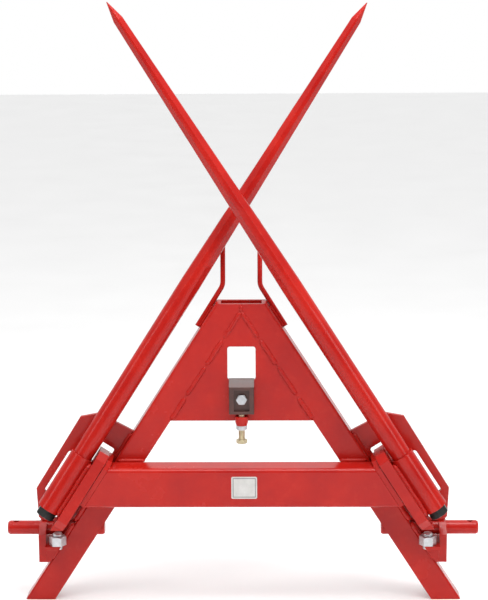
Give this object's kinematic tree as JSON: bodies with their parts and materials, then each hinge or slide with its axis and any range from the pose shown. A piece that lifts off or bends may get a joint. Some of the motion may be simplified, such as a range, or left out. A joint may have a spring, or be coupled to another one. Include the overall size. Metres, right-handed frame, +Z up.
{
  "type": "folding bale spike headstock",
  "caption": "Red A-frame hitch headstock with a cross beam, folding bale tines that cross when stowed, link pins, a tine rest hoop and an adjustable latch catch.",
  "frame": {"origin": "ground level, midway between the link pins and midway through the depth of the object as stowed", "axes": "+X to the object's right seen from the load side, +Y away from the load side to the tractor, +Z up"},
  "size_m": [0.956, 0.182, 1.2041],
  "materials": {
    "red_paint": "gloss",
    "brown_primer": "satin",
    "zinc": "satin",
    "yellow_zinc": "satin",
    "bare_steel": "satin",
    "black_steel": "satin",
    "label_film": "matte"
  },
  "bodies": {
    "headstock": {"blank_label": "label_film", "bracket_stud_nuts": "zinc", "bracket_studs": "zinc", "cross_beam": "red_paint", "crown_plate": "red_paint", "left_beam_end_plate": "red_paint", "left_bracket_front": "red_paint", "left_bracket_shelf": "red_paint", "left_hinge_bush": "red_paint", "left_leg": "red_paint", "left_lower_link_pin": "red_paint", "left_pin_cheek": "red_paint", "left_wing_plate": "red_paint", "lock_nut": "zinc", "right_beam_end_plate": "red_paint", "right_bracket_front": "red_paint", "right_bracket_shelf": "red_paint", "right_hinge_bush": "red_paint", "right_leg": "red_paint", "right_lower_link_pin": "red_paint", "right_pin_cheek": "red_paint", "right_wing_plate": "red_paint", "screw_boss": "red_paint", "tine_rest_hoop": "red_paint", "web_plate": "red_paint"},
    "left_tine_arm": {"left_hinge_block": "red_paint", "left_hinge_pin": "bare_steel", "left_hinge_nut": "zinc", "left_socket": "red_paint", "left_tine": "red_paint", "left_tine_nut": "black_steel"},
    "right_tine_arm": {"right_hinge_block": "red_paint", "right_hinge_pin": "bare_steel", "right_hinge_nut": "zinc", "right_socket": "red_paint", "right_tine": "red_paint", "right_tine_nut": "black_steel"},
    "catch": {"catch_block": "brown_primer", "catch_bolt": "zinc", "catch_washer": "zinc", "catch_nut": "zinc"},
    "screw": {"adjusting_screw": "yellow_zinc"}
  },
  "joints": [
    {"name": "right_tine_fold", "type": "hinge", "parent": "headstock", "child": "right_tine_arm", "pos_m": [0.30235, -0.04847, 0.25082], "axis": [0.8419, 0, 0.5397], "range_deg": [0, 91.5]},
    {"name": "left_tine_fold", "type": "hinge", "parent": "headstock", "child": "left_tine_arm", "pos_m": [-0.30235, -0.04847, 0.25082], "axis": [0.8419, 0, -0.5397], "range_deg": [0, 97]},
    {"name": "catch_slide", "type": "slide", "parent": "headstock", "child": "catch", "axis": [0, 0, 1], "range_m": [-0.005, 0.012]},
    {"name": "screw_turn", "type": "hinge", "parent": "catch", "child": "screw", "pos_m": [0, -0.03187, 0.36], "axis": [0, 0, 1], "range_deg": [-1030, 2470]}
  ],
  "couplings": [
    {"joint": "left_tine_fold", "follows": "right_tine_fold", "ratio": 1.06},
    {"joint": "screw_turn", "follows": "catch_slide", "rad_per_m": 3590.4}
  ]
}
